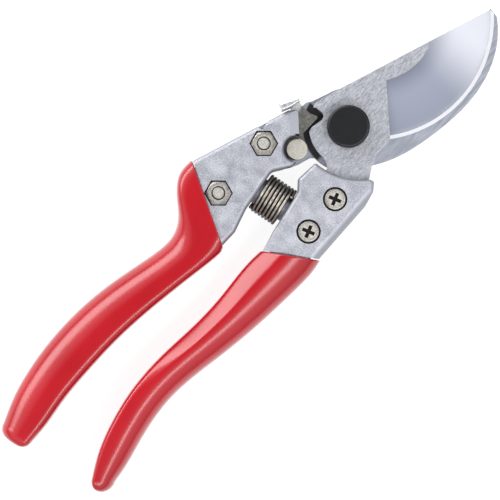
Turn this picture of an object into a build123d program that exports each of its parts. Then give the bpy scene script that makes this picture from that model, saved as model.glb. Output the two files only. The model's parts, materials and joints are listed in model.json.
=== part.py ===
"""Bypass pruning shears with a thumb latch, closed and latched, lying on their back.

The shears are drawn about their pivot: x across, y towards the blade tips, z towards the front.
z = 0 is the plane where the two blades meet. The counter blade lies behind it and is bolted to
the left handle; the cutting blade lies in front of it and is screwed to the right handle.
Everything is moved at the end so that the grips rest on z = 0 under the middle of the tool.
"""
from build123d import *
import math
import os

# Overall sizes, mm
BLADE_REACH = 57.0  # pivot to the tip of the blades
GRIP_REACH = 142.0  # pivot to the end of the left grip
RIGHT_GRIP_REACH = 134.5  # pivot to the end of the right grip

# Thicknesses, measured along z
COUNTER_THICK = 4.0
CUTTER_THICK = 3.2
HANDLE_FRONT = 7.4  # front face of both handles above the meeting plane
HANDLE_BACK = 6.8  # back face of both handles below the meeting plane
GRIP_PROUD = 1.4  # grips beyond the faces of the heads, front and back
COAT = 2.4  # coating on the flanks of a handle's core
COAT_FLAT = 2.6  # coating on the front and back of a core

# Edges and clearances
HEAD_ROUND = 1.3
OUTER_ROUND = 2.8  # outer front edge of the right head
RIM_BEVEL = 0.5  # rim of the recess for the latch pin
FACET_SLOPE = 12.0  # degrees, inner facet of the right head
SLOT_SLOPE = 18.0  # degrees, bevel of the left head beside the latch
GRIP_ROUND = 3.2
GRIP_END_R = 5.4
RIGHT_GRIP_END_R = 4.5
CORE_ROUND = 1.4
SLIDE_GAP = 0.05  # between faces that slide over each other
HOLE_GAP = 0.05  # radial, shaft in hole
SEAT_GAP = 0.05  # between the coating and the handle in it
POCKET_GAP = 0.3  # around a blade's tang in its pocket
RECESS_GAP = 0.35  # around a nut in its recess

# Pivot
PIVOT_R = 3.0
PIVOT_HEAD_R = 6.0
PIVOT_HEAD_THICK = 2.6
PIVOT_WASHER_R = 5.9
PIVOT_WASHER_THICK = 0.8
PIVOT_NUT_FLATS = 10.0
PIVOT_NUT_THICK = 3.2
NUT_BEVEL = 0.3  # a nut's round top face inside its flats
NUT_SINK = 0.2  # nuts below the left handle's face
CAP_R = 6.55
CAP_WALL = 0.45
CAP_TOP = 0.9
CAP_FLAT = 0.45  # depth of the small flat on the cap's rim
PIVOT_BODY_R = 13.9  # round body of the counter blade
PIVOT_ROOM_R = 17.0  # clear of metal behind the left head
CUTTER_BODY_R = 12.0  # round lower edge of the cutting blade

# Cutting edge
GRIND_WIDTH = 18.0  # hollow grind, from the edge towards the spine
GRIND_SAG = 0.35  # how far the grind is hollow
BEVEL_WIDTH = 1.1
BEVEL_RISE = 0.7
EDGE_LAND = 0.2  # thickness left at the edge

# Fasteners
BOLT_R = 2.0
BOLT_HEAD_R = 3.6
BOLT_HEAD_THICK = 2.3
NUT_FLATS = 7.0
NUT_THICK = 3.2
NUT_TURN = 43.0  # angle of a nut's corner about z
SCREW_HEAD_R = 3.45
SCREW_HEAD_THICK = 2.1
SCREW_SINK = 0.4  # screw head below the handle's face
SCREW_RIM = 0.3  # radial gap around a screw head
DRIVE_SPAN = 4.0
DRIVE_WIDTH = 1.1
DRIVE_DEPTH = 1.4

# Thumb latch
LATCH_THICK = 2.8
LATCH_HUB_R = 3.35
LATCH_PIN_R = 2.0
LATCH_PIN_HEAD = 1.7
LATCH_RIVET = 1.2
LATCH_WASHER_THICK = 0.4
LATCH_RECESS_R = 4.2
TAB_TOP = 9.6  # top of the thumb tab above the meeting plane
TAB_ROUND = 0.6  # top edges of the thumb tab
TAB_GAP = 0.3  # between the swinging tab and the handle
TAB_SWEEP = (150.0, 194.0)  # directions from the latch pin that the tab swings over
TAB_ROOM = 8.0  # width of the hollow that it swings in

# Return spring
SPRING_R = 6.6  # outside radius
WIRE_R = 0.65
SPRING_TURNS = 6.5
SPRING_GAP = 0.1  # at each end
PEG_R = 4.2
PEG_LENGTH = 3.0

# Places
HEEL = (11.9, 6.1)  # where the cutting edge starts
LATCH_PIN = (-6.8, -15.8)
COUNTER_BOLTS = {"upper": (-15.4, -21.5), "lower": (-15.2, -42.1)}
CUTTER_SCREWS = {"upper": (12.2, -19.1), "lower": (13.0, -31.9)}
SPRING_SEATS = ((-6.75, -33.0), (3.45, -31.3))
FACET_CREASE = ((4.3, -32.2), (11.3, -42.5))  # where the right head's inner facet starts
SLOT_CREASE = ((-12.0, -13.4), (-16.2, -8.9))  # where the left head's slot bevel starts
OUTER_EDGE = ((21.3, -40.0), (20.5, -14.5))  # the right head's outer edge

COUNTER_LOW = -COUNTER_THICK
CUTTER_LOW = SLIDE_GAP
CUTTER_TOP = CUTTER_LOW + CUTTER_THICK
LATCH_LOW = SLIDE_GAP
LATCH_TOP = LATCH_LOW + LATCH_THICK
GRIP_BACK = HANDLE_BACK + GRIP_PROUD
GRIP_FRONT = HANDLE_FRONT + GRIP_PROUD
CORE_BACK = GRIP_BACK - COAT_FLAT
CORE_FRONT = GRIP_FRONT - COAT_FLAT
NUT_LOW = HANDLE_FRONT - NUT_SINK - NUT_THICK  # under the nuts in the left handle
FAR = 400.0  # larger than the tool, for half-plane cuts
EDGE_PAST = 20.0  # how far an edge's rounding runs on past its ends
INSET_POINTS = 60  # places where an inset curve follows the outer one


def prism(outline, low, high):
    """A flat outline thickened from height low to height high."""
    return extrude(Pos(0, 0, low) * outline, amount=high - low)


def disc(centre, radius, low, high):
    """An upright cylinder between two heights."""
    return Pos(centre[0], centre[1], (low + high) / 2) * Cylinder(radius, high - low)


def hexagon(centre, flats, low, high):
    """An upright hexagonal prism between two heights, turned like the nuts."""
    outline = RegularPolygon(flats / math.sqrt(3), 6, rotation=NUT_TURN)
    return prism(Pos(*centre) * outline, low, high)


def outline_of(*edges):
    """A face inside a closed chain of edges."""
    return make_face(list(edges))


def polygon(*points):
    return make_face(Polyline(*points, close=True))


def on_blade(x, share):
    """A point beside the blades, its y as a share of the reach to the tip."""
    return (x, share * BLADE_REACH)


def on_grip(x, share, reach, start):
    """A point beside a grip, its y as a share of the way from the collar to the end."""
    return (x, -start - share * (reach - start))


def around(centre, radius, degrees):
    """A point on a circle."""
    turn = math.radians(degrees)
    return (centre[0] + radius * math.cos(turn), centre[1] + radius * math.sin(turn))


# ---------------------------------------------------------------- blades

def cutting_edge():
    """The edge's arc, from the heel to the tip."""
    return ThreePointArc(HEEL, on_blade(20.2, 0.53), on_blade(8.9, 0.992))


def cutting_outline():
    edge = cutting_edge()
    spine_end = on_blade(7.3, 0.988)
    spine_start = (-11.9, 0.9)
    lobe_start = around((0, 0), CUTTER_BODY_R, 229.5)
    lobe_end = around((0, 0), CUTTER_BODY_R, 274.5)
    notch = [spine_start, (-12.4, -2.1), (-11.9, -2.9), (-11.2, -2.4), (-8.8, -2.2), (-7.7, -2.7),
             (-7.4, -3.9), (-8.1, -7.7), lobe_start]
    tang = [lobe_end, (3.9, -13.4), (5.4, -20.0), (7.6, -37.5), (17.6, -37.5), (17.4, -14.0),
            (15.6, -7.2), (13.4, -3.5), (12.0, -0.1), HEEL]
    return outline_of(
        edge,
        Line(edge @ 1, spine_end),
        Line(spine_end, spine_start),
        Polyline(*notch),
        ThreePointArc(lobe_start, around((0, 0), CUTTER_BODY_R, 252), lobe_end),
        Polyline(*tang),
    )


def grind_cut():
    """The metal that grinding takes off the front of the cutting blade."""
    edge = cutting_edge()
    centre, radius = edge.arc_center, edge.radius
    inner = radius - GRIND_WIDTH
    bevel = radius - BEVEL_WIDTH
    over = CUTTER_TOP + 3.0
    edge_z = CUTTER_LOW + EDGE_LAND
    bevel_z = edge_z + BEVEL_RISE
    middle = ((inner + bevel) / 2, (CUTTER_TOP + bevel_z) / 2 - GRIND_SAG)
    profile = make_face([
        ThreePointArc((inner, CUTTER_TOP), middle, (bevel, bevel_z)),
        Polyline((bevel, bevel_z), (radius, edge_z), (radius + 3, edge_z), (radius + 3, over),
                 (inner, over), (inner, CUTTER_TOP)),
    ])
    ring = revolve(Plane.XZ * profile, Axis.Z)
    ring = Pos(centre.X, centre.Y, 0) * ring
    start = polygon((-1.6, 18.9), (12.4, 5.7), (60, 5.7), (60, 90), (-60, 90), (-60, 18.9))
    return ring & prism(start, -FAR / 8, FAR / 8)


def make_cutting_blade():
    blade = prism(cutting_outline(), CUTTER_LOW, CUTTER_TOP) - grind_cut()
    blade -= disc((0, 0), PIVOT_R + HOLE_GAP, CUTTER_LOW - 1, CUTTER_TOP + 1)
    for place in CUTTER_SCREWS.values():
        blade -= disc(place, BOLT_R + HOLE_GAP, CUTTER_LOW - 1, CUTTER_TOP + 1)
    return blade


def counter_outline():
    body_right = around((0, 0), PIVOT_BODY_R, -14.5)
    body_low = around((0, 0), PIVOT_BODY_R, -94.0)
    outer = [body_right, (18.4, 6.4), on_blade(20.5, 0.26), on_blade(21.8, 0.42), on_blade(22.0, 0.56),
             on_blade(19.9, 0.75), on_blade(10.4, 0.988)]
    tip = on_blade(7.2, 0.998)
    hollow_top = on_blade(7.4, 0.97)
    hollow_mid = on_blade(14.4, 0.52)
    hollow_low = (8.0, 9.4)
    hump = (-11.5, 3.6)
    tang = [hump, (-13.5, -1.6), (-14.6, -3.2), (-15.0, -7.2), (-19.4, -20.0), (-20.2, -28.0),
            (-20.2, -47.6), (-10.2, -47.6), (-10.2, -27.0), (-4.9, -21.9), (-3.3, -18.8),
            (-2.1, -14.9), body_low]
    return outline_of(
        Spline(*outer),
        Line(outer[-1], tip),
        Line(tip, hollow_top),
        ThreePointArc(hollow_top, hollow_mid, hollow_low),
        ThreePointArc(hollow_low, (-1.6, 12.2), hump),
        Polyline(*tang),
        ThreePointArc(body_low, around((0, 0), PIVOT_BODY_R, -54.0), body_right),
    )


def make_counter_blade():
    blade = prism(counter_outline(), COUNTER_LOW, 0)
    blade -= disc((0, 0), PIVOT_R + HOLE_GAP, COUNTER_LOW - 1, 1)
    blade -= disc(LATCH_PIN, LATCH_PIN_R + HOLE_GAP, COUNTER_LOW - 1, 1)
    for place in COUNTER_BOLTS.values():
        blade -= disc(place, BOLT_R + HOLE_GAP, COUNTER_LOW - 1, 1)
    return blade


# ---------------------------------------------------------------- grips

def grip_end(centre_x, reach, radius):
    """Points round the closed end of a grip, a half circle and a little more."""
    return [around((centre_x, radius - reach), radius, turn) for turn in range(190, 360, 32)]


def left_grip_curve():
    """Outline of the left grip; it runs on past the collar, where it is cut off."""
    start = 54.0
    outside = [(-16.5, 0.09), (-19.3, 0.285), (-22.3, 0.53), (-21.3, 0.74), (-18.6, 0.89)]
    inside = [(-5.6, 0.87), (-6.9, 0.72), (-7.3, 0.52), (-5.6, 0.27), (-3.1, 0.09)]
    points = [(-16.0, -36.0), (-26.8, -37.6), (-28.4, -45.0), (-19.8, -55.2)]
    points += [on_grip(x, share, GRIP_REACH, start) for x, share in outside]
    points += grip_end(-10.7, GRIP_REACH, GRIP_END_R)
    points += [on_grip(x, share, GRIP_REACH, start) for x, share in inside]
    points += [(-3.0, -48.0), (-6.8, -39.0)]
    return Spline(*points, periodic=True)


def right_grip_curve():
    """Outline of the right grip; it runs on past the collar, where it is cut off."""
    start = 47.0
    inside = [(7.0, 0.23), (6.1, 0.49), (6.6, 0.66), (9.4, 0.815), (12.2, 0.9)]
    outside = [(21.9, 0.89), (19.4, 0.79), (17.2, 0.6), (19.3, 0.36), (21.7, 0.13)]
    points = [(14.0, -31.5), (7.6, -37.0), (6.2, -48.0)]
    points += [on_grip(x, share, RIGHT_GRIP_REACH, start) for x, share in inside]
    points += grip_end(18.0, RIGHT_GRIP_REACH, RIGHT_GRIP_END_R)
    points += [on_grip(x, share, RIGHT_GRIP_REACH, start) for x, share in outside]
    points += [(22.4, -44.0), (20.4, -34.5)]
    return Spline(*points, periodic=True)


def inset(curve, depth):
    """A closed curve moved inwards, square to itself, at INSET_POINTS places."""
    points = []
    for step in range(INSET_POINTS):
        here = step / INSET_POINTS
        sideways = (curve % here).rotate(Axis.Z, 90)
        points.append((curve @ here) + sideways * depth)
    return Spline(*points, periodic=True)


LEFT_COLLAR = [(-FAR, 157.9), (-27.9, -40.1), (-3.4, -53.1), (FAR, -267.0)]
RIGHT_COLLAR = [(-FAR, -382.0), (6.8, -45.9), (11.4, -42.2), (21.0, -36.0), (FAR, 208.8)]


def above(collar):
    """Everything on the blades' side of a collar line."""
    return prism(polygon(*collar, (FAR, FAR), (-FAR, FAR)), -FAR / 8, FAR / 8)


def rounded(outline, low, high, radius):
    """An outline thickened, with its front and back edges rounded."""
    block = prism(outline, low, high)
    rims = block.edges().group_by(Axis.Z)
    return fillet(rims[0] + rims[-1], radius)


def make_grip(curve, collar):
    """A coating: the grip's outside, less the room for the handle's core."""
    outside = rounded(make_face(curve), -GRIP_BACK, GRIP_FRONT, GRIP_ROUND) - above(collar)
    inner = make_face(inset(curve, COAT))
    return outside - rounded(inner, -CORE_BACK - SEAT_GAP, CORE_FRONT + SEAT_GAP, CORE_ROUND + SEAT_GAP)


def make_core(curve, collar):
    """The part of a handle inside its grip, reaching a little way up into the head."""
    inner = make_face(inset(curve, COAT + SEAT_GAP))
    core = rounded(inner, -CORE_BACK, CORE_FRONT, CORE_ROUND)
    return core - above([(x, y + 2.0) for x, y in collar])


# ---------------------------------------------------------------- handles

def soften(outline, *corners):
    """An outline whose corners (x, y, radius) are rounded."""
    for x, y, radius in corners:
        corner = outline.vertices().sort_by_distance((x, y, 0))[0]
        outline = fillet(corner, radius)
    return outline


def left_head_outline():
    corners = [
        (-27.4, -47.0, 0.8), (-27.5, -39.8, 0.8), (-16.8, -8.9, 1.0), (-14.7, -6.7, 0.8),
        (-4.1, -17.3, 0.8), (-4.2, -20.9, 0.8), (-7.8, -26.2, 2.4), (-5.7, -40.0, 4.0),
        (-3.4, -47.4, 3.0), (-3.4, -57.0, 0.8), (-15.0, -57.0, 0.8),
    ]
    return soften(polygon(*[corner[:2] for corner in corners]), *corners)


def right_head_outline():
    top_left, top_right = (0.2, -15.0), (15.9, -7.4)
    flank = [top_right, (17.3, -6.9), (19.2, -9.4), OUTER_EDGE[1], OUTER_EDGE[0], (22.0, -46.0),
             (7.6, -52.0), (6.9, -46.0), (5.0, -38.9), (2.4, -25.3), (-0.3, -22.2), top_left]
    outline = outline_of(ThreePointArc(top_left, (8.9, -12.8), top_right), Polyline(*flank))
    return soften(outline, (17.3, -6.9, 0.8), (19.2, -9.4, 1.6), (20.5, -14.5, 4.0), (5.0, -38.9, 4.0),
                  (2.4, -25.3, 1.6), (-0.3, -22.2, 1.2), (0.2, -15.0, 0.8))


def sloped_cut(crease, slope):
    """Room above a plane that starts at a crease in the front face and falls to its right."""
    start, end = [Vector(x, y, HANDLE_FRONT) for x, y in crease]
    along = (end - start).normalized()
    upright = Vector(0, 0, 1).rotate(Axis((0, 0, 0), along), slope)
    plane = Plane(origin=start, x_dir=along, z_dir=upright)
    return plane.location * Box(FAR, FAR, FAR / 8, align=(Align.CENTER, Align.CENTER, Align.MIN))


def edge_cut(edge, radius):
    """What rounding takes off a straight edge of the front face, with the metal on its left."""
    start, end = [Vector(x, y, HANDLE_FRONT) for x, y in edge]
    along = (end - start).normalized()
    past = Vector(*along) * EDGE_PAST
    plane = Plane(origin=start - past, x_dir=Vector(0, 0, 1).cross(along), z_dir=along)
    room = Pos((radius - 2) / 2, (2 - radius) / 2) * Rectangle(radius + 2, radius + 2)
    room -= Pos(radius, -radius) * Circle(radius)
    return extrude(plane * room, amount=(end - start).length + 2 * EDGE_PAST)


def bevel_cut(place, radius, bevel):
    """A cone that takes the sharp rim off a round recess in the front face."""
    cone = Cone(radius, radius + 2 * bevel, 2 * bevel, align=(Align.CENTER, Align.CENTER, Align.MIN))
    return Pos(*place, HANDLE_FRONT - bevel) * cone


def peg(seat, towards):
    """A round peg that stands on one spring seat and points at the other."""
    direction = Vector(towards[0] - seat[0], towards[1] - seat[1], 0).normalized()
    plane = Plane(origin=Vector(seat[0], seat[1], 0) - direction * 2.0, z_dir=direction)
    return extrude(plane * Circle(PEG_R), amount=PEG_LENGTH + 2.0)


def tang_room(outline, low, high):
    """The pocket that a blade's tang lies in."""
    return prism(offset(outline, POCKET_GAP), low, high)


def tab_scallop():
    """The shallow hollow in the left handle's flank that the thumb tab swings into."""
    near = tab_reach() - TAB_GAP
    ring = disc(LATCH_PIN, near + TAB_ROOM, LATCH_LOW - SLIDE_GAP, HANDLE_FRONT + 1)
    ring -= disc(LATCH_PIN, near, LATCH_LOW - 1, HANDLE_FRONT + 2)
    corners = [around(LATCH_PIN, 2 * near, turn) for turn in TAB_SWEEP]
    sector = polygon(LATCH_PIN, *corners)
    return ring & prism(sector, LATCH_LOW - 1, HANDLE_FRONT + 2)


def make_left_handle():
    head = rounded(left_head_outline(), -HANDLE_BACK, HANDLE_FRONT, HEAD_ROUND)
    head &= above(LEFT_COLLAR)
    head -= sloped_cut(SLOT_CREASE, SLOT_SLOPE)
    handle = head + make_core(left_grip_curve(), LEFT_COLLAR)
    handle -= tang_room(counter_outline(), -HANDLE_BACK - 1, 0)
    handle -= disc((0, 0), PIVOT_ROOM_R, -HANDLE_BACK - 1, 0)
    handle -= bevel_cut(LATCH_PIN, LATCH_RECESS_R, RIM_BEVEL)
    handle -= disc(LATCH_PIN, LATCH_RECESS_R, -SLIDE_GAP, HANDLE_FRONT + 1)
    latch_room = polygon((-24.0, -17.2), (-11.4, -17.8), (-8.8, -20.4), (0, -21.0), (0, 0), (-24, 0))
    handle -= prism(latch_room, -SLIDE_GAP, LATCH_TOP + SLIDE_GAP)
    handle -= tab_scallop()
    for place in COUNTER_BOLTS.values():
        handle -= disc(place, BOLT_R + HOLE_GAP, -1, HANDLE_FRONT + 1)
        handle -= hexagon(place, NUT_FLATS + 2 * RECESS_GAP, NUT_LOW, HANDLE_FRONT + 1)
    return handle + peg(*SPRING_SEATS)


def make_right_handle():
    head = rounded(right_head_outline(), -HANDLE_BACK, HANDLE_FRONT, HEAD_ROUND)
    head &= above(RIGHT_COLLAR)
    head -= sloped_cut(FACET_CREASE, FACET_SLOPE)
    head -= edge_cut(OUTER_EDGE, OUTER_ROUND)
    handle = head + make_core(right_grip_curve(), RIGHT_COLLAR)
    handle -= tang_room(cutting_outline(), -HANDLE_BACK - 1, CUTTER_TOP)
    for place in CUTTER_SCREWS.values():
        handle -= disc(place, BOLT_R + HOLE_GAP, 0, HANDLE_FRONT + 1)
        handle -= disc(place, SCREW_HEAD_R + SCREW_RIM,
                       HANDLE_FRONT - SCREW_SINK - SCREW_HEAD_THICK, HANDLE_FRONT + 1)
    return handle + peg(*reversed(SPRING_SEATS))


# ---------------------------------------------------------------- latch

TAB = [(-16.0, -4.7), (-17.3, -4.1), (-20.2, -9.6), (-18.1, -10.5), (-16.9, -7.9)]


def tab_reach():
    """Distance from the latch pin to the nearest part of the thumb tab's inner face."""
    return min(math.dist(LATCH_PIN, point) for point in (TAB[3], TAB[4]))


def make_latch_lever():
    hub = disc(LATCH_PIN, LATCH_HUB_R, LATCH_LOW, LATCH_TOP)
    hub_left = around(LATCH_PIN, LATCH_HUB_R, 165)
    hub_right = around(LATCH_PIN, LATCH_HUB_R, 80)
    arm = polygon(hub_right, (-8.8, -11.4), (-8.75, -4.5), (-9.2, -4.1), (-11.6, -4.9), (-14.6, -5.0),
                  TAB[0], TAB[4], (-15.4, -8.6), hub_left, LATCH_PIN)
    tab = prism(polygon(*TAB), LATCH_LOW, TAB_TOP)
    tab = fillet(tab.edges().group_by(Axis.Z)[-1], TAB_ROUND)
    lever = hub + prism(arm, LATCH_LOW, LATCH_TOP) + tab
    return lever - disc(LATCH_PIN, LATCH_PIN_R + HOLE_GAP, LATCH_LOW - 1, LATCH_TOP + 1)


def latch_head_low():
    return LATCH_TOP + LATCH_WASHER_THICK + 2 * SLIDE_GAP


def make_latch_washer():
    low = LATCH_TOP + SLIDE_GAP
    washer = disc(LATCH_PIN, LATCH_HUB_R - 0.1, low, low + LATCH_WASHER_THICK)
    return washer - disc(LATCH_PIN, LATCH_PIN_R + HOLE_GAP, low - 1, low + 2)


def make_latch_pin():
    head_low = latch_head_low()
    shank = disc(LATCH_PIN, LATCH_PIN_R, COUNTER_LOW, head_low)
    head = disc(LATCH_PIN, LATCH_HUB_R, head_low, head_low + LATCH_PIN_HEAD)
    head = fillet(head.edges().group_by(Axis.Z)[-1], 0.4)
    rivet = disc(LATCH_PIN, LATCH_HUB_R - 0.3, COUNTER_LOW - LATCH_RIVET, COUNTER_LOW)
    rivet = fillet(rivet.edges().group_by(Axis.Z)[0], 0.5)
    return shank + head + rivet


# ---------------------------------------------------------------- pivot

def make_pivot_bolt():
    top = CUTTER_TOP + SLIDE_GAP + PIVOT_WASHER_THICK + PIVOT_NUT_THICK
    head = disc((0, 0), PIVOT_HEAD_R, COUNTER_LOW - PIVOT_HEAD_THICK, COUNTER_LOW)
    head = fillet(head.edges().group_by(Axis.Z)[0], 0.8)
    socket = prism(RegularPolygon(2.9, 6), COUNTER_LOW - PIVOT_HEAD_THICK - 1, COUNTER_LOW - 0.6)
    return head - socket + disc((0, 0), PIVOT_R, COUNTER_LOW, top)


def make_pivot_washer():
    low = CUTTER_TOP + SLIDE_GAP
    ring = disc((0, 0), PIVOT_WASHER_R, low, low + PIVOT_WASHER_THICK)
    return ring - disc((0, 0), PIVOT_R + HOLE_GAP, low - 1, low + 2)


def make_pivot_nut():
    low = CUTTER_TOP + SLIDE_GAP + PIVOT_WASHER_THICK
    nut = hexagon((0, 0), PIVOT_NUT_FLATS, low, low + PIVOT_NUT_THICK)
    return nut - disc((0, 0), PIVOT_R + HOLE_GAP, low - 1, low + 9)


def make_pivot_cap():
    low = CUTTER_TOP + 2 * SLIDE_GAP
    room_top = CUTTER_TOP + PIVOT_WASHER_THICK + PIVOT_NUT_THICK + 0.3
    cap = disc((0, 0), CAP_R, low, room_top + CAP_TOP)
    cap = fillet(cap.edges().group_by(Axis.Z)[-1], 0.8)
    cap -= disc((0, 0), CAP_R - CAP_WALL, low - 1, room_top)
    flat = Rot(0, 0, 76) * (Pos(CAP_R + 2 - CAP_FLAT, 0, room_top) * Box(4, 8, 3 * CAP_TOP))
    return cap - (flat & disc((0, 0), CAP_R + 4, room_top + CAP_TOP / 3, room_top + 9))


# ---------------------------------------------------------------- fasteners

def make_counter_bolt(place):
    bolt = disc(place, BOLT_R, COUNTER_LOW, HANDLE_FRONT - 0.1)
    head = disc(place, BOLT_HEAD_R, COUNTER_LOW - BOLT_HEAD_THICK, COUNTER_LOW)
    head = fillet(head.edges().group_by(Axis.Z)[0], 0.9)
    socket = prism(Pos(*place) * RegularPolygon(1.5, 6), COUNTER_LOW - 9, COUNTER_LOW - 0.9)
    end = bolt.edges().group_by(Axis.Z)[-1]
    return chamfer(end, 0.4) + (head - socket)


def make_nut(place, low):
    nut = hexagon(place, NUT_FLATS, low, low + NUT_THICK)
    top = NUT_FLATS / 2 - NUT_BEVEL
    cone = Pos(*place, low) * Cone(top + NUT_THICK * 2, top, NUT_THICK,
                                   align=(Align.CENTER, Align.CENTER, Align.MIN))
    return (nut & cone) - disc(place, BOLT_R + HOLE_GAP, low - 1, low + NUT_THICK + 1)


def make_cutter_screw(place):
    head_top = HANDLE_FRONT - SCREW_SINK
    head_low = head_top - SCREW_HEAD_THICK
    head = disc(place, SCREW_HEAD_R, head_low, head_top)
    head = fillet(head.edges().group_by(Axis.Z)[-1], 0.7)
    for turn in (20, 110):
        slot = Pos(*place, head_top) * (Rot(0, 0, turn) * Box(DRIVE_SPAN, DRIVE_WIDTH, 2 * DRIVE_DEPTH))
        head -= slot
    return head + disc(place, BOLT_R, CUTTER_LOW - NUT_THICK - 0.3, head_low)


# ---------------------------------------------------------------- spring

def make_return_spring():
    """A compression coil between the two seats, its axis along the line between them."""
    start, end = Vector(*SPRING_SEATS[0], 0), Vector(*SPRING_SEATS[1], 0)
    along = (end - start).normalized()
    length = (end - start).length - 2 * SPRING_GAP - 2 * WIRE_R
    pitch = length / SPRING_TURNS
    mean = SPRING_R - WIRE_R
    origin = start + along * (SPRING_GAP + WIRE_R)
    plane = Plane(origin=origin, z_dir=along)
    path = Helix(pitch=pitch, height=length, radius=mean)
    section = Plane(origin=path @ 0, z_dir=path % 0) * Circle(WIRE_R)
    return plane.location * sweep(section, path, is_frenet=True)


def build():
    parts = {
        "counter_blade": make_counter_blade(),
        "cutting_blade": make_cutting_blade(),
        "left_handle": make_left_handle(),
        "right_handle": make_right_handle(),
        "left_grip": make_grip(left_grip_curve(), LEFT_COLLAR),
        "right_grip": make_grip(right_grip_curve(), RIGHT_COLLAR),
        "pivot_bolt": make_pivot_bolt(),
        "pivot_washer": make_pivot_washer(),
        "pivot_nut": make_pivot_nut(),
        "pivot_cap": make_pivot_cap(),
        "latch_lever": make_latch_lever(),
        "latch_washer": make_latch_washer(),
        "latch_pin": make_latch_pin(),
        "return_spring": make_return_spring(),
    }
    for name, place in COUNTER_BOLTS.items():
        parts[f"{name}_counter_bolt"] = make_counter_bolt(place)
        parts[f"{name}_counter_nut"] = make_nut(place, NUT_LOW)
    for name, place in CUTTER_SCREWS.items():
        parts[f"{name}_cutter_screw"] = make_cutter_screw(place)
        parts[f"{name}_cutter_nut"] = make_nut(place, CUTTER_LOW - NUT_THICK)
    return parts


def overall_box(parts):
    boxes = [part.bounding_box() for part in parts.values()]
    low = [min(getattr(box.min, axis) for box in boxes) for axis in "XYZ"]
    high = [max(getattr(box.max, axis) for box in boxes) for axis in "XYZ"]
    return low, high


def main():
    os.makedirs("parts", exist_ok=True)
    parts = build()
    low, high = overall_box(parts)
    shift = Pos(-(low[0] + high[0]) / 2, -(low[1] + high[1]) / 2, -low[2])
    for name, part in parts.items():
        export_step(shift * part, f"parts/{name}.step")
    print("pivot at", [round(value, 4) for value in shift.position])
    print("size", [round(b - a, 3) for a, b in zip(low, high)])


main()
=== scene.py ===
# %% [markdown]
# # Bypass pruning shears
# A pair of garden shears, closed and latched, lies on its back on a pale table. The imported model
# brings every rigid piece at its real place. This script gives each of them its finish, and
# replaces the pieces whose looks depend on soft shapes: the dipped grips and the coil spring.

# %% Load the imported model
import json
import math

import bmesh
import bpy
import numpy as np
from mathutils import Matrix, Vector


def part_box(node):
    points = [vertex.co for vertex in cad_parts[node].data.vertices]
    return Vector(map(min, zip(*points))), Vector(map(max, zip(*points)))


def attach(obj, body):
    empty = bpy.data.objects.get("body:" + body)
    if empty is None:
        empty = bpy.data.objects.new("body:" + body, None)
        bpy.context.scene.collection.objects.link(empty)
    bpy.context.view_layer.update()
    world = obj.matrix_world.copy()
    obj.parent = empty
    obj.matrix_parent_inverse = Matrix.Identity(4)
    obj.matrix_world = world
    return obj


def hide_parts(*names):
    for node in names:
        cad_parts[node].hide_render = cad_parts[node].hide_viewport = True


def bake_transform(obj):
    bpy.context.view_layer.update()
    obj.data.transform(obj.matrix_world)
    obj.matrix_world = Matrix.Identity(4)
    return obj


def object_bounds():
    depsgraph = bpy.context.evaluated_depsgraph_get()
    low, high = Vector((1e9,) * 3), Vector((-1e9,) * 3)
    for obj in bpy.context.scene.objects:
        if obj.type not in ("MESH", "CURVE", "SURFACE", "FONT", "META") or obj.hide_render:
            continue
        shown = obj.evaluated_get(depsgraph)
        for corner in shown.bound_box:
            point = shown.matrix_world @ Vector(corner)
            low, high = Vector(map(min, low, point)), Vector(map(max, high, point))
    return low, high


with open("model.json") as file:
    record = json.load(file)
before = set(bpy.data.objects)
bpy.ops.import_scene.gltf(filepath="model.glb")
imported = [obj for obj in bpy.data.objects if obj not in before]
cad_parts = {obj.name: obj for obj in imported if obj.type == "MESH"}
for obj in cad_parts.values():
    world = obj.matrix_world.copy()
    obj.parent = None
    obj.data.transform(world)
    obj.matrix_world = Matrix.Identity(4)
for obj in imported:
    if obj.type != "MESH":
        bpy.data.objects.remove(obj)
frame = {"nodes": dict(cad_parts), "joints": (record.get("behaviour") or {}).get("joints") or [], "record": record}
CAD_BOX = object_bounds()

print("the tool measures", [round(size, 4) for size in CAD_BOX[1] - CAD_BOX[0]], "m")


# %% [markdown]
# ## One place to measure from
# The two halves of the shears turn about one bolt, so that bolt is the natural centre of the
# tool. Every length below is in millimetres, and every place is measured from the bolt's axis in
# the plane where the blades meet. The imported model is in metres, so a factor turns one into the
# other.

# %% Millimetres from the pivot
MM = 0.001
PIVOT = np.array(next(j for j in frame["joints"] if j["name"] == "blade_pivot")["pos_m"])


def at(x, y, z=0.0):
    """A place in metres from millimetres measured from the pivot."""
    return Vector(PIVOT) + Vector((x, y, z)) * MM


def centre_of(node):
    """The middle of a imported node's box, in metres."""
    low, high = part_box(node)
    return (low + high) / 2


# %% [markdown]
# ## Shader maths
# A finish is easier to read as arithmetic than as a web of nodes. `Value` wraps one output of a
# node and overloads the operators, so that `1 - mask` adds a Math node and links it by itself.

# %% Values
class Value:
    """One output socket that can be added, multiplied and subtracted."""

    def __init__(self, web, socket):
        self.web = web
        self.socket = socket

    def math(self, operation, *others):
        """One Math node on this value and any others."""
        return self.web.node("ShaderNodeMath", {"operation": operation}, self, *others)

    def __add__(self, other):
        return self.math("ADD", other)

    def __mul__(self, other):
        return self.math("MULTIPLY", other)

    def __sub__(self, other):
        return self.math("SUBTRACT", other)

    def __rsub__(self, other):
        return self.web.node("ShaderNodeMath", {"operation": "SUBTRACT"}, other, self)

    __radd__ = __add__
    __rmul__ = __mul__

    def step(self, low, high):
        """Smooth rise from 0 at low to 1 at high."""
        kind = {"interpolation_type": "SMOOTHSTEP"}
        return self.web.node("ShaderNodeMapRange", kind, self, low, high, 0.0, 1.0)


def sum_of(values):
    """The values added up."""
    return sum(values[1:], values[0])


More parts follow.
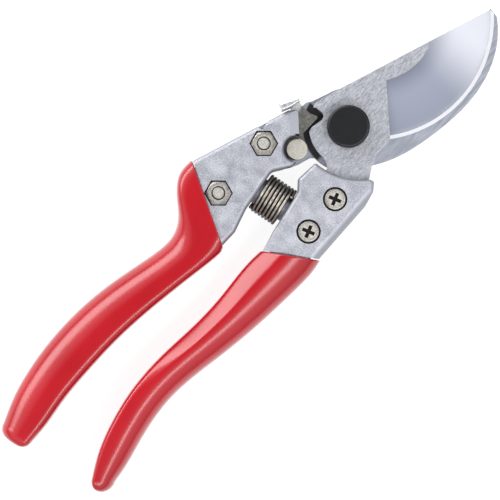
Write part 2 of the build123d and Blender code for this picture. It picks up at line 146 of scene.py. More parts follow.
# %% [markdown]
# ## One way to add a node
# Every node is made the same way: pick its kind, set its options, then give each socket a number
# or a link. `Web` does this for any tree of nodes, so the materials and the room's light share it.
# A colour ramp's stops are options too, and they need a little care of their own.

# %% Webs of nodes
def set_stops(ramp, stops):
    """Gives a colour ramp its stops, as (place, colour) pairs from left to right."""
    for place, _ in stops[1:-1]:
        ramp.elements.new(place)
    for element, (place, colour) in zip(ramp.elements, stops):
        element.position = place
        element.color = (*colour, 1)


class Web:
    """A tree of nodes, and one way to add any kind of node to it."""

    def __init__(self, tree):
        self.tree = tree

    def plug(self, socket, value):
        """Links a Value to a socket, or sets the socket to a plain number, colour or vector."""
        if isinstance(value, Value):
            self.tree.links.new(value.socket, socket)
        else:
            socket.default_value = value

    def node(self, kind, settings, *values, out=0, numbered=(), **named):
        """Adds a node. The values fill its sockets in order; the rest pick theirs by number or name."""
        made = self.tree.nodes.new(kind)
        for key, value in settings.items():
            if key == "stops":
                set_stops(made.color_ramp, value)
            else:
                setattr(made, key, value)
        for key, value in [*enumerate(values), *numbered, *named.items()]:
            self.plug(made.inputs[key], value)
        return Value(self, made.outputs[out])


# %% [markdown]
# ## Materials without pictures
# None of these finishes needs a painted image. Cast skin, brushed lines and specks of oil are all
# fine noise, and noise in Object coordinates has the same grain on every piece, whatever its size.
# `Paint` is one such material: its own shader, and the few kinds of node that finishes share.

# %% Paints
class Paint(Web):
    """A procedural material, made up from the nodes that its expressions add."""

    def __init__(self, name, **constants):
        self.material = bpy.data.materials.new(name)
        self.material.use_nodes = True
        super().__init__(self.material.node_tree)
        self.shader = self.tree.nodes["Principled BSDF"]
        self.feed(**constants)

    def feed(self, **inputs):
        """Sets or links the shader's own sockets; base_color stands for "Base Color"."""
        for key, value in inputs.items():
            self.plug(self.shader.inputs[key.replace("_", " ").title()], value)

    def read(self, kind):
        """Where a point of the surface lies ("Object") or which way it faces ("Normal")."""
        return self.node("ShaderNodeTexCoord", {}, out=kind)

    def part(self, vector, axis):
        """A vector's x, y or z, for axis 0, 1 or 2."""
        return self.node("ShaderNodeSeparateXYZ", {}, vector, out=axis)

    def noise(self, grain, detail=3.0, rough=0.55, scale=(1, 1, 1), turn=0.0):
        """Cloudy values from 0 to 1 whose spots are about grain mm across.

        A scale under 1 draws the spots out along an axis, which is then turned about z."""
        where = self.node("ShaderNodeMapping", {}, self.read("Object"), Scale=scale, Rotation=(0, 0, turn))
        return self.node("ShaderNodeTexNoise", {}, Vector=where, Scale=1 / (grain * MM), Detail=detail,
                         Roughness=rough)

    def mottle(self, grain):
        """Spots about grain mm across, with most of the surface in one of the two tones."""
        return self.noise(grain, detail=4.0).step(0.3, 0.7)

    def mix(self, share, low, high):
        """The colour low where share is 0 and high where it is 1."""
        colours = ((6, low), (7, high))
        return self.node("ShaderNodeMix", {"data_type": "RGBA"}, share, out=2, numbered=colours)

    def bump(self, height, depth):
        """A normal from a height of 0 to 1 that is worth depth mm."""
        return self.node("ShaderNodeBump", {}, Height=height, Distance=depth * MM, Strength=1.0)


def rgb(red, green, blue):
    """A linear colour from 0 to 255 display values."""
    share = np.array([red, green, blue]) / 255
    linear = np.where(share <= 0.04045, share / 12.92, ((share + 0.055) / 1.055) ** 2.4)
    return (*linear.tolist(), 1.0)


# %% [markdown]
# ## Masks
# Painted shade, painted highlights, the grind and a few paler patches change a finish only in places,
# and a mask is a value from 0 to 1 that says where. These come from where a point lies and from which
# way the surface faces. Both belong to the piece itself, so a mask stays where it is when the tool is
# turned or seen from elsewhere.

# %% Masks from place and direction
WALL_FACING = (0.10, 0.55)  # facing of a full wall, and of a slope that is no wall at all


def height(paint):
    """How high a point of the surface lies, in metres."""
    return paint.part(paint.read("Object"), 2)


def above(paint, low, high):
    """0 up to low mm from the heads' front faces, rising to 1 at high mm from them."""
    return height(paint).step(FRONT + low * MM, FRONT + high * MM)


def from_pivot(paint, axis):
    """How far a point lies from the pivot along x (axis 0) or y (axis 1), in metres."""
    return paint.part(paint.read("Object"), axis) - float(PIVOT[axis])


def facing(paint):
    """1 where the surface lies level, 0 where it stands upright."""
    return paint.part(paint.read("Normal"), 2).math("ABSOLUTE")


def upright(paint):
    """1 on walls that stand upright, 0 where the surface is nearer to level."""
    return 1 - facing(paint).step(*WALL_FACING)


def near(paint, centre, radius, blur):
    """1 within radius mm of a place and 0 outside, with a border blur mm wide, measured flat."""
    away = paint.node("ShaderNodeVectorMath", {"operation": "SUBTRACT"}, paint.read("Object"), tuple(centre))
    flat = paint.node("ShaderNodeVectorMath", {"operation": "MULTIPLY"}, away, (1, 1, 0))
    length = paint.node("ShaderNodeVectorMath", {"operation": "LENGTH"}, flat, out=1)
    return 1 - length.step((radius - blur / 2) * MM, (radius + blur / 2) * MM)


# %% [markdown]
# ## Places on the tool
# Painted shade darkens the sunk seats round the fasteners, so their places are read from the packed
# pieces. The cutting edge is a long curve. Three points on it fix a circle that fits it closely,
# and a distance from a circle is simple to work out in a material, so the grind and the bevel
# follow that circle.

# %% Fasteners, thumb tab and spring seats
LATCH_PIN = centre_of("latch_pin")
NUTS = [centre_of("upper_counter_nut"), centre_of("lower_counter_nut")]
SCREWS = [centre_of("upper_cutter_screw"), centre_of("lower_cutter_screw")]
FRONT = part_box("left_handle")[1].z  # height of the heads' front faces
THUMB_TAB = at(-18.2, -6.8)
SEATS = np.array([(-6.75, -33.0, 0.0), (3.45, -31.3, 0.0)])  # mm, where the spring's ends press
print("front faces", round(FRONT / MM, 2), "mm high; latch pin at", tuple(LATCH_PIN))


# %% The cutting edge as an arc
def circle_through(first, second, third):
    """Centre and radius in mm of the circle through three points: it is as far from all three."""
    a, b, c = [np.array(point[:2]) for point in (first, second, third)]
    sides = 2 * np.array([b - a, c - a])
    centre = np.linalg.solve(sides, [b @ b - a @ a, c @ c - a @ a])
    return Vector((*centre, PIVOT[2])), float(np.linalg.norm(a - centre)) / MM


EDGE_CENTRE, EDGE_RADIUS = circle_through(at(11.9, 6.1), at(20.2, 30.21), at(8.9, 56.544))
print("cutting edge on a circle of radius", round(EDGE_RADIUS, 2), "mm")


# %% [markdown]
# ## Cast aluminium
# The handles are castings, tumbled until they are smooth: a pale, slightly blue metal. A coarse
# and a fine noise together give the flats their mottled grain. The rounded corners are more even
# and a little duller, and are painted a little darker as shade that dims the window's reflection
# there. The side walls get a darker grey still: painted shade, because they see less of the room.

# %% Sunk seats
# Painted shade: near black for the sunk seats, and for the slots, sides and thread rings of the fasteners in them.
RECESS_SHADE = rgb(30, 28, 27)
SEAT_RADIUS = 4.7  # mm, of the sunk seats round the nuts, screws and latch pin
SEAT_TOP = (-0.7, -0.3)  # mm from the front faces, between which the painted shade fades out


def sunk_seats(paint):
    """1 on the walls and floors of the sunk seats, which get painted shade."""
    spots = [near(paint, place, SEAT_RADIUS, 0.2) for place in [*NUTS, *SCREWS, LATCH_PIN]]
    return sum_of(spots) * (1 - above(paint, *SEAT_TOP))


# %% Aluminium
CORNER_FACING = (0.94, 1.0)  # facing of a rounded corner, and of a level flat


def cast_aluminium():
    """Mottled pale metal on the flats, even tones on corners and walls darkened as painted shade, and painted
    shade in the seats.
    """
    paint = Paint("cast_aluminium", metallic=0.9)
    cloud = paint.noise(4.0, detail=4.0)
    grain = paint.noise(0.4, detail=5.0, rough=0.75)
    corner = 1 - facing(paint).step(*CORNER_FACING)
    tone = (cloud * 0.3 + grain * 0.7).step(0.34, 0.66)
    flat = paint.mix(tone, rgb(152, 153, 162), rgb(218, 219, 225))
    # Painted shade: the rounded corners get an even tone a little darker than the flats, which dims the window's
    # reflection there.
    top = paint.mix(corner, flat, rgb(180, 181, 187))
    # Painted shade: upright walls get a darker grey.
    skin = paint.mix(upright(paint), top, rgb(146, 147, 153))
    paint.feed(
        # Painted shade: near black in the sunk seats.
        base_color=paint.mix(sunk_seats(paint), skin, RECESS_SHADE),
        roughness=(tone * 0.12 + 0.44) + corner * 0.08,
        normal=paint.bump(grain * 0.7 + cloud * 0.3, 0.06),
    )
    return paint.material


# %% [markdown]
# ## Blade steel
# The cutting blade is satin steel, brushed across its length. Its grind slopes very slightly
# towards the edge, so the direction of the surface alone tells the grind from the flat. The grind
# is smooth and has no grain. Its colour is painted shade and painted reflection: dark where it
# begins near the pivot and in the hollow of the edge's curve, and pale towards the tip. Beyond a
# circle just inside the edge lies the narrow bevel, painted near white as a highlight, the brightest
# part of the tool. The upright walls get a darker grey as painted shade.

# %% Brushed steel and the grind
BARE_METAL = 0.95  # how metallic clean steel is: a thin dull film keeps it under 1
BEVEL = 1.1  # mm, width of the bevel along the cutting edge
GRIND_FACING = (0.9975, 0.9995)  # facing of the grind, and of the blade's flat
GRIND_ROUGHNESS = 0.55
GRIND_RISE = (27 * MM, 48 * MM)  # from the pivot, where the grind's painted shading turns from dark to pale
HOLLOW_RADIUS = 21.0  # mm, of the middle of the edge's circle that gets painted shade


def brushed(paint, grain, squash, degrees):
    """Fine lines: noise drawn out along one axis by 1 / squash, then turned."""
    return paint.noise(grain, scale=(1, squash, 1), turn=math.radians(degrees))


def grind_painted_shading(paint):
    """Painted shade and reflection: dark at the root and pale at the tip, and both darker in the hollow of the
    curve.
    """
    hollow = near(paint, EDGE_CENTRE, HOLLOW_RADIUS, 12.0)
    root = paint.mix(hollow, rgb(154, 158, 172), rgb(104, 108, 121))
    tip = paint.mix(hollow, rgb(226, 227, 232), rgb(176, 178, 186))
    return paint.mix(from_pivot(paint, 1).step(*GRIND_RISE), root, tip)


# %% Cutting blade
def blade_steel():
    """Satin steel with a smooth grind in painted shade and reflection, and a painted highlight on the bevel; both
    follow the edge's own circle.
    """
    paint = Paint("blade_steel")
    ground = 1 - facing(paint).step(*GRIND_FACING)
    bevel = (1 - near(paint, EDGE_CENTRE, EDGE_RADIUS - BEVEL, 0.1)) * ground
    pebble = paint.noise(0.35, detail=2.0)
    tone = (brushed(paint, 0.4, 0.22, -52) * 0.55 + pebble * 0.45).step(0.30, 0.70)
    satin = paint.mix(tone, rgb(154, 155, 162), rgb(214, 215, 220))
    # Painted shade and painted reflection on the grind.
    top = paint.mix(ground, satin, grind_painted_shading(paint))
    # Painted shade: upright walls get a darker grey.
    skin = paint.mix(upright(paint), top, rgb(140, 142, 149))
    paint.feed(
        # Painted highlight: near white on the bevel.
        base_color=paint.mix(bevel, skin, rgb(250, 250, 252)),
        metallic=BARE_METAL - bevel * 0.6,
        roughness=(tone * 0.12 + 0.42) * (1 - ground) + ground * GRIND_ROUGHNESS,
        normal=paint.bump(tone * (1 - ground), 0.03),
    )
    return paint.material


# %% [markdown]
# ## Counter blade
# The hooked blade is plainer: satin steel with faint lines and no bright grind. Below and to the
# left of the pivot, where the cutting blade's round body stands over it and leaves a dark gap, a
# near black patch of painted shade covers it. The patch is no metal, so the mask takes the metallic
# share down to nothing.

# %% Counter steel
PIVOT_SHADE_RADIUS = 14.0  # mm, how far the cutting blade's round body reaches from the pivot


def counter_steel():
    """Satin steel with painted shade where the cutting blade's round body stands over it."""
    paint = Paint("counter_steel")
    tone = brushed(paint, 0.5, 0.1, -20).step(0.3, 0.7)
    steel = paint.mix(tone, rgb(180, 184, 195), rgb(198, 201, 210))
    below = 1 - from_pivot(paint, 1).step(-2.6 * MM, -1.8 * MM)
    beside = 1 - from_pivot(paint, 0).step(-0.5 * MM, 1.0 * MM)
    # Painted shade: near black below and to the left of the pivot, under the cutting blade's round body.
    pivot_shade = near(paint, PIVOT, PIVOT_SHADE_RADIUS, 0.8) * below * beside
    paint.feed(
        base_color=paint.mix(pivot_shade, steel, rgb(24, 24, 26)),
        metallic=BARE_METAL * (1 - pivot_shade),
        roughness=tone * 0.06 + 0.38,
        normal=paint.bump(tone, 0.01),
    )
    return paint.material


# %% [markdown]
# ## Nickel plate
# Bolts, nuts and pins are nickel plated, which is warmer than bare steel and fairly smooth. The
# ones that sit in sunk seats are made a second material, with painted shade in their slots and
# threads. It is the same plate with masks over it: painted shade by depth and on a ring where the
# thread meets the nut, and a paler middle with a darker rim round it.

# %% Nickel
def nickel_plate():
    """Warm bright plating with a faint mottle."""
    paint = Paint("nickel_plate", metallic=BARE_METAL)
    tone = paint.mottle(0.6)
    paint.feed(
        base_color=paint.mix(tone, rgb(200, 194, 182), rgb(218, 213, 202)),
        roughness=tone * 0.14 + 0.42,
        normal=paint.bump(tone, 0.01),
    )
    return paint.material


# %% Nickel in sunk seats
THREAD = (1.85, 2.15)  # mm, inner and outer radius of the ring of painted shade round a bolt's end
PALE_MIDDLE_RADIUS = 2.6  # mm, of the paler middle of a fastener
SHADE_TOP = (-1.4, -0.8)  # mm from the front faces, between which the painted shade fades out


def thread_ring(paint, nut):
    """1 between the two radii of the thread's ring: a wide disc less a narrow one."""
    inner, outer = THREAD
    return near(paint, nut, outer, 0.1) - near(paint, nut, inner, 0.1)


def nickel_painted_shade():
    """Nickel with painted shade in the slots and on the sides of a screw or nut in its seat."""
    paint = Paint("nickel_painted_shade")
    tone = paint.mottle(0.6)
    threads = sum_of([thread_ring(paint, nut) for nut in NUTS])
    # Painted shade: near black below the front faces and on the thread's ring.
    deep = (1 - above(paint, *SHADE_TOP) + threads).step(0.0, 1.0)
    # A paler middle and a darker rim on each fastener.
    pale_middle = sum_of([near(paint, place, PALE_MIDDLE_RADIUS, 2.0) for place in [*NUTS, *SCREWS]])
    rim = paint.mix(tone, rgb(142, 137, 130), rgb(186, 181, 173))
    middle = paint.mix(tone, rgb(206, 200, 189), rgb(228, 224, 216))
    paint.feed(
        base_color=paint.mix(deep, paint.mix(pale_middle, rim, middle), RECESS_SHADE),
        metallic=BARE_METAL - deep * 0.5,
        roughness=tone * 0.08 + 0.40,
        normal=paint.bump(tone, 0.01),
    )
    return paint.material


# %% [markdown]
# ## Latch plate
# The latch is stamped from plain grey plate, a little warm and fairly dark. Its thumb tab is
# pushed each time the tool is opened, and a round mask gives the tab's top a paler, near white grey.

# %% Latch
TAB_RADIUS = 3.8  # mm, of the paler top of the thumb tab


def latch_plate():
    """Plain grey plate, paler on the top of the thumb tab."""
    paint = Paint("latch_plate", metallic=BARE_METAL)
    tone = paint.mottle(0.7)
    # A paler round patch on the top of the thumb tab.
    pale_tab = near(paint, THUMB_TAB, TAB_RADIUS, 0.8)
    plate = paint.mix(tone, rgb(128, 126, 120), rgb(158, 156, 149))
    paint.feed(
        base_color=paint.mix(pale_tab, plate, rgb(226, 226, 226)),
        roughness=tone * 0.14 + 0.32,
        normal=paint.bump(tone, 0.01),
    )
    return paint.material


# %% [markdown]
# ## Spring wire
# The spring is steel wire with a warm grey outside. Painted shade makes it near black where little
# light would reach: in the narrow gaps between the turns, and down the flanks of the coil. The
# direction of the surface against the spring's own axis finds the gaps.

# %% Wire
GAP_FACING = (0.45, 0.85)  # share of the direction along the spring, from outside to gap
FLANK_FACING = (0.25, 0.75)  # facing of the coil's flank, and of its top


def spring_wire():
    """Warm grey wire, with painted shade near black between the turns and on the coil's flanks."""
    paint = Paint("spring_wire")
    tone = paint.mottle(1.5)
    axis = tuple((SEATS[1] - SEATS[0]) / np.linalg.norm(SEATS[1] - SEATS[0]))
    sideways = paint.node("ShaderNodeVectorMath", {"operation": "DOT_PRODUCT"}, paint.read("Normal"),
                          axis, out=1)
    between = sideways.math("ABSOLUTE").step(*GAP_FACING)
    flank = 1 - facing(paint).step(*FLANK_FACING)
    wire = paint.mix(tone, rgb(138, 131, 122), rgb(200, 192, 180))
    # Painted shade: near black in the gaps between the turns.
    top = paint.mix(between, wire, rgb(20, 18, 17))
    paint.feed(
        # Painted shade: near black down the coil's flanks.
        base_color=paint.mix(flank, top, rgb(30, 27, 25)),
        metallic=BARE_METAL - flank * 0.6,
        roughness=tone * 0.10 + 0.28,
        normal=paint.bump(tone, 0.01),
    )
    return paint.material


# %% [markdown]
# ## Dipped vinyl and plastic
# The grips are dipped in red vinyl: a strong colour under a clear gloss, with the faintest orange
# peel. A coat over the base gives the gloss its own roughness, so the long highlights stay soft.
# The pivot's cap is moulded in satin black plastic, with specks too small to see one by one.

# %% Red vinyl
def red_vinyl():
    """Two close reds in broad clouds under a soft gloss, on a barely uneven skin."""
    paint = Paint("red_vinyl", coat_weight=0.6, coat_roughness=0.24)
    cloud = paint.noise(20.0, detail=2.0)
    peel = paint.noise(4.0, detail=1.0)
    paint.feed(
        base_color=paint.mix(cloud.step(0.3, 0.7), rgb(176, 4, 20), rgb(188, 8, 26)),
        roughness=cloud * 0.06 + 0.20,
        normal=paint.bump(peel, 0.004),
    )
    return paint.material


# %% Black plastic
def black_plastic():
    """Nearly black plastic with a fine satin grain."""
    paint = Paint("black_plastic")
    speck = paint.noise(0.5)
    paint.feed(
        base_color=paint.mix(speck, rgb(9, 9, 10), rgb(20, 20, 22)),
        roughness=speck * 0.10 + 0.30,
        normal=paint.bump(speck, 0.02),
    )
    return paint.material


# %% [markdown]
# ## Finishes on the imported pieces
# Each node of the imported model names a material slot, so its finish is looked up there. Only the
# fasteners in the sunk seats are picked out by name, because they share a slot with ones that get
# no painted shade.

# %% Paint the imported nodes
FINISHES = {
    "cast_aluminium": cast_aluminium(),
    "red_coating": red_vinyl(),
    "counter_steel": counter_steel(),
    "blade_steel": blade_steel(),
    "black_cap": black_plastic(),
    "spring_wire": spring_wire(),
    "latch_steel": latch_plate(),
    "plated_steel": nickel_plate(),
}
NICKEL_PAINTED_SHADE = nickel_painted_shade()
SUNK = ("upper_counter_bolt", "lower_counter_bolt", "upper_counter_nut", "lower_counter_nut",
        "upper_cutter_screw", "lower_cutter_screw")


def paint_nodes():
    """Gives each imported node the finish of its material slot."""
    for entry in frame["record"]["subparts"]:
        node = entry["node"]
        mesh = frame["nodes"][node].data
        mesh.materials.clear()
        mesh.materials.append(NICKEL_PAINTED_SHADE if node in SUNK else FINISHES[entry["material_slot"]])
    print("painted", len(frame["nodes"]), "packed nodes")


for finish in [*FINISHES.values(), NICKEL_PAINTED_SHADE]:
    print(finish.name, "made of", len(finish.node_tree.nodes), "nodes")
paint_nodes()


# %% [markdown]
# ## Surfaces from arrays
# A dipped grip or a wound wire is a closed curve carried along a path. Each is worked out as one
# array of points, a row for every place on the path, and becomes a mesh in a single step.

# %% Grids into meshes
def shell(name, grid):
    """A closed mesh from an array (rows, points, xyz) in metres; every row is a loop.

    The first and last rows are closed by one face each, and coincident points become one."""
    rows, points, _ = grid.shape
    index = np.arange(rows * points).reshape(rows, points)
    across = np.roll(index, -1, axis=1)
    quads = np.stack([index[:-1], across[:-1], across[1:], index[1:]], axis=-1).reshape(-1, 4)
    mesh = bpy.data.meshes.new(name)
    faces = quads.tolist() + [index[0, ::-1].tolist(), index[-1].tolist()]
    mesh.from_pydata(grid.reshape(-1, 3).tolist(), [], faces)
    made = bmesh.new()
    made.from_mesh(mesh)
    bmesh.ops.remove_doubles(made, verts=made.verts, dist=1e-7)
    bmesh.ops.dissolve_degenerate(made, edges=made.edges, dist=1e-8)
    bmesh.ops.recalc_face_normals(made, faces=made.faces)
    made.to_mesh(mesh)
    made.free()
    mesh.polygons.foreach_set("use_smooth", np.ones(len(mesh.polygons), dtype=bool))
    piece = bpy.data.objects.new(name, mesh)
    bpy.context.scene.collection.objects.link(piece)
    print(name, len(mesh.vertices), "points", len(mesh.polygons), "faces")
    return piece


# %% [markdown]
# ## Smooth curves
# A grip has no corners in its run. Along it goes a natural cubic spline, because that passes
# through every station. Round a section goes a B-spline, because that never overshoots the
# corners that pull on it, so a flat side stays flat.

# %% A curve along the stations
def through(stations, count):
    """A natural cubic spline through rows of numbers, read at count even steps of length.

    Between two stations each number is a cubic; the bends at the stations solve one linear system
    that makes slope and bend run on smoothly."""
    stations = np.asarray(stations, dtype=float)
    middles = (stations[:, 0:2] + stations[:, 2:4]) / 2
    gaps = np.linalg.norm(np.diff(middles, axis=0), axis=1)
    along = np.concatenate([[0], np.cumsum(gaps)])
    size = len(stations)
    system = np.eye(size)
    right = np.zeros_like(stations)
    inside = np.arange(1, size - 1)
    system[inside, inside - 1] = gaps[:-1]
    system[inside, inside] = 2 * (gaps[:-1] + gaps[1:])
    system[inside, inside + 1] = gaps[1:]
    slopes = np.diff(stations, axis=0) / gaps[:, None]
    right[1:-1] = 6 * np.diff(slopes, axis=0)
    bends = np.linalg.solve(system, right)
    where = np.linspace(0, along[-1], count)
    span = np.clip(np.searchsorted(along, where, side="right") - 1, 0, size - 2)
    gap = gaps[span][:, None]
    low = (where - along[span])[:, None]
    high = gap - low
    curve = (bends[span] * high**3 + bends[span + 1] * low**3) / (6 * gap)
    line_low = stations[span] / gap - bends[span] * gap / 6
    line_high = stations[span + 1] / gap - bends[span + 1] * gap / 6
    return curve + line_low * high + line_high * low


# %% A closed curve round a section
def soft_loop(corners, count):
    """A closed cubic B-spline that a polygon of corners pulls on, at count even steps.

    Each point is the sum of four corners in turn, weighted by the cubic B-spline's four blends."""
    corners = np.asarray(corners, dtype=float)
    where = np.arange(count) / count * len(corners)
    first = where.astype(int)
    t = (where - first)[:, None]
    blends = [(1 - t) ** 3, 3 * t**3 - 6 * t**2 + 4, -3 * t**3 + 3 * t**2 + 3 * t + 1, t**3]
    return sum(b * corners[(first + i) % len(corners)] for i, b in enumerate(blends)) / 6


# %% [markdown]
# ## Sections of a dipped grip
# Each handle is dipped in soft vinyl, which covers it from a straight collar line to a rounded
# end. The outer side, where the palm lies, is rounded far more than the inner side. A loft gives
# this directly: stations say how wide and thick the grip is along its length, and one soft closed
# curve, stretched to each station, gives every cross-section. Four curves are enough: the left
# grip's full collar and crowned body, and the right grip with its inner facet and without it.

# %% Cross-sections
AROUND = 160  # points round a section

# Corners of half a section: across from the inner side 0 to the outer side 1, and from the middle
# plane 0 to the front face 1. They are listed from the inner side.
LEFT_HALF = [
    (0, 0), (0, 0.45), (0.0, 0.82), (0.09, 1.0), (0.24, 1.0), (0.36, 1.0), (0.52, 0.99),
    (0.80, 0.82), (0.985, 0.46), (1, 0),
]
COLLAR_HALF = [
    (0, 0), (0, 0.45), (0.0, 0.82), (0.09, 1.0), (0.24, 1.0), (0.40, 1.0), (0.62, 1.0),
    (0.92, 1.0), (1, 0.72), (1, 0),
]
FACET_HALF = [
    (0, 0), (0, 0.30), (0.0, 0.60), (0.05, 0.72), (0.33, 0.985), (0.36, 1.0), (0.46, 0.995),
    (0.60, 0.97), (0.84, 0.82), (0.985, 0.46), (1, 0),
]
PLAIN_HALF = [
    (0, 0), (0, 0.40), (0.0, 0.80), (0.07, 1.0), (0.22, 1.0), (0.34, 1.0), (0.45, 0.995),
    (0.60, 0.97), (0.84, 0.82), (0.985, 0.46), (1, 0),
]


def section(half):
    """A closed section: the front from half a list of corners, and the back its mirror image."""
    front = np.array(half)
    back = front[-2:0:-1] * (1, -1)
    return soft_loop(np.concatenate([front, back]), AROUND)


print("sections of", AROUND, "points from", [len(half) for half in (LEFT_HALF, FACET_HALF)], "corners")


# %% [markdown]
# ## Lofting a grip
# A grip is hollow, because it is a skin round the handle. Its rings run up the inner wall, roll
# over the collar's rim and go down the outside to the closed end, so the whole skin is one sheet
# with no seam. The end is a dome: its width and thickness both fall to nothing along a quarter
# turn. A cap modelled on its own would show a line where it met the grip.

# %% Rings and domed ends
WALL = 1.2  # mm, thickness of the vinyl at the collar
LIP = 0.45  # mm, rounding of the collar's rim
DOME_ROWS = 14
DOME_FULLNESS = 0.3  # power of the cosine that thins a dome: the smaller, the fuller


def ring(station, shape, inset=0.0):
    """A section stretched over one station or many, in millimetres about the pivot.

    A point across s and up h lies at inner + s * (outer - inner), at height h * front or h * back."""
    station = np.atleast_2d(station)
    outer, inner = station[:, None, 0:2], station[:, None, 2:4]
    front, back = station[:, None, 4], station[:, None, 5]
    width = np.linalg.norm(outer - inner, axis=2, keepdims=True)
    keep = np.clip(1 - 2 * inset / np.maximum(width, 1e-6), 0.02, 1)
    across = 0.5 + (shape[..., 0:1] - 0.5) * keep
    flat = inner + across * (outer - inner)
    up = shape[..., 1]
    lift = np.where(up > 0, up * (front - inset), up * (back - inset))
    return np.concatenate([flat, lift[..., None]], axis=2)


def domed(station, ahead, blunt):
    """Stations that close a grip's end: both its width and its thickness fall to nothing.

    The width is a cosine raised to the power blunt: a circle at 1, and a squarer end below. The
    middle moves by a sine times ahead, which is in half widths."""
    outer, inner = station[0:2], station[2:4]
    middle, half = (outer + inner) / 2, (outer - inner) / 2
    turn = np.linspace(0, math.pi / 2, DOME_ROWS + 1)[1:, None]
    centre = middle + ahead * np.linalg.norm(half) * np.sin(turn)
    swing = half * np.cos(turn) ** blunt
    thick = station[4:6] * np.cos(turn) ** DOME_FULLNESS
    return np.concatenate([centre + swing, centre - swing, thick], axis=1)


# %% Blends, rims and whole grips
ROWS = 320  # rings along a grip, without its dome
WALL_STEP = 6  # the hidden inner wall needs only one ring in six
RIM_STEPS = 8  # steps of the half turn that rolls the collar's rim


def blended(shapes, count):
    """A section for each of count rings, from a list of (share of the length, section).

    Between two of the list, the blend is the smooth step 3 b^2 - 2 b^3 of the share between them."""
    share = np.clip(np.linspace(0, count / ROWS, count), 0, 1)
    places = np.array([place for place, _ in shapes])
    parts = np.array([shape for _, shape in shapes])
    left = np.clip(np.searchsorted(places, share, side="right") - 1, 0, len(places) - 2)
    blend = np.clip((share - places[left]) / (places[left + 1] - places[left]), 0, 1)
    blend = (blend * blend * (3 - 2 * blend))[:, None, None]
    return parts[left] * (1 - blend) + parts[left + 1] * blend


def collar_rim(first, fourth, shape):
    """Rings of a half turn from the inner wall to the skin, bulging by LIP out of the collar."""
    axis = (first[0:2] + first[2:4]) / 2 - (fourth[0:2] + fourth[2:4]) / 2
    axis = np.append(axis / np.linalg.norm(axis), 0)
    turns = np.linspace(0, math.pi, RIM_STEPS + 1)[1:-1]
    insets = WALL / 2 * (1 + np.cos(turns))
    return [ring(first, shape, inset) + axis * LIP * math.sin(turn) for inset, turn in zip(insets, turns)]


def make_grip(name, stations, shapes, ahead, blunt):
    """A vinyl grip: inner wall, rolled collar rim and outer skin, as one run of rings."""
    body = through(stations, ROWS)
    outside = np.concatenate([body, domed(body[-1], np.array(ahead), blunt)])
    shape = blended(shapes, len(outside))
    hidden = np.arange(0, ROWS, WALL_STEP)[::-1]
    wall = ring(outside[hidden], shape[hidden], WALL)
    rim = collar_rim(body[0], body[3], shape[0])
    grid = np.concatenate([wall, *rim, ring(outside, shape)])
    return shell(name, grid * MM + PIVOT)


# %% [markdown]
# ## The left grip
# This is the long, slender one. It swings out from the latch in a tight bend and then runs almost
# straight, with a slight bow for the fingers. Its collar has to hold the thick head of the
# handle, so the section starts fuller there and has become the crowned one at a fifth of the
# length. The end is cut bluntly, with round corners.

# %% Left grip
# Stations: outer x and y, inner x and y, front and back thickness, all in mm from the pivot.
LEFT_STATIONS = [
    (-28.35, -40.6, -2.7, -53.7, 8.8, 8.1), (-28.15, -45.6, -2.35, -54.6, 8.8, 8.1),
    (-24.4, -51.2, -2.3, -55.8, 8.8, 8.1), (-19.7, -55.6, -2.5, -57.9, 8.8, 8.1),
    (-16.9, -60.5, -3.0, -61.5, 8.8, 8.1), (-16.7, -66.7, -3.9, -67.0, 8.8, 8.1),
    (-17.9, -72.8, -4.8, -73.0, 8.8, 8.1), (-20.6, -84.9, -6.4, -85.0, 8.8, 8.15),
    (-22.2, -97.1, -7.3, -97.0, 8.7, 8.15), (-22.3, -109.6, -7.3, -109.0, 8.5, 8.1),
    (-20.9, -121.7, -6.6, -121.5, 8.2, 7.8), (-18.5, -131.4, -5.4, -130.4, 7.8, 7.4),
    (-15.5, -138.9, -5.1, -137.0, 7.4, 7.0),
]


def make_left_grip():
    """A full collar that eases into the crowned section, and a blunt end that leans inwards."""
    collar = section(COLLAR_HALF)
    body = section(LEFT_HALF)
    shapes = [(0, collar), (0.05, collar), (0.2, body), (1, body)]
    return make_grip("left_grip_vinyl", LEFT_STATIONS, shapes, ahead=(0.14, -0.66), blunt=0.6)


LEFT_GRIP = make_left_grip()


# %% [markdown]
# ## The right grip
# The right grip is straighter, and ends in a round tip that turns outwards. Its inner side is cut
# by a flat facet that catches the light as far as the middle, then fades into a plain flank. The
# same loft makes both: the section with the facet blends into the section without it.

# %% Right grip
RIGHT_STATIONS = [
    (22.0, -36.2, 6.3, -46.7, 8.8, 8.1), (22.6, -40.5, 6.1, -49.4, 8.8, 8.1),
    (22.6, -45.6, 6.05, -52.4, 8.8, 8.1), (22.3, -51.5, 6.25, -56.5, 8.8, 8.1),
    (21.2, -65.6, 7.0, -66.2, 8.8, 8.15), (19.5, -78.2, 6.9, -77.7, 8.8, 8.15),
    (17.6, -90.5, 6.0, -90.1, 8.7, 8.15), (17.1, -96.6, 5.9, -96.3, 8.6, 8.1),
    (17.3, -102.9, 6.3, -103.2, 8.4, 8.0), (19.3, -114.6, 8.9, -116.4, 8.1, 7.7),
    (21.3, -123.2, 12.5, -126.2, 7.7, 7.3), (22.1, -128.8, 15.9, -132.3, 7.3, 6.9),
]


def make_right_grip():
    """A facet that fades out past the middle, and a round end that leans outwards."""
    facet = section(FACET_HALF)
    plain = section(PLAIN_HALF)
    shapes = [(0, facet), (0.42, facet), (0.72, plain), (1, plain)]
    return make_grip("right_grip_vinyl", RIGHT_STATIONS, shapes, ahead=(0.46, -1.0), blunt=0.9)


RIGHT_GRIP = make_right_grip()


# %% [markdown]
# ## Return spring
# A compression spring is one wire wound round and round. Its line is a helix whose turns lie a
# little closer at both ends than in the middle, and the wire is a circle carried along that line.
# At each point the circle stands square to the line, so the wire is equally thick all along.

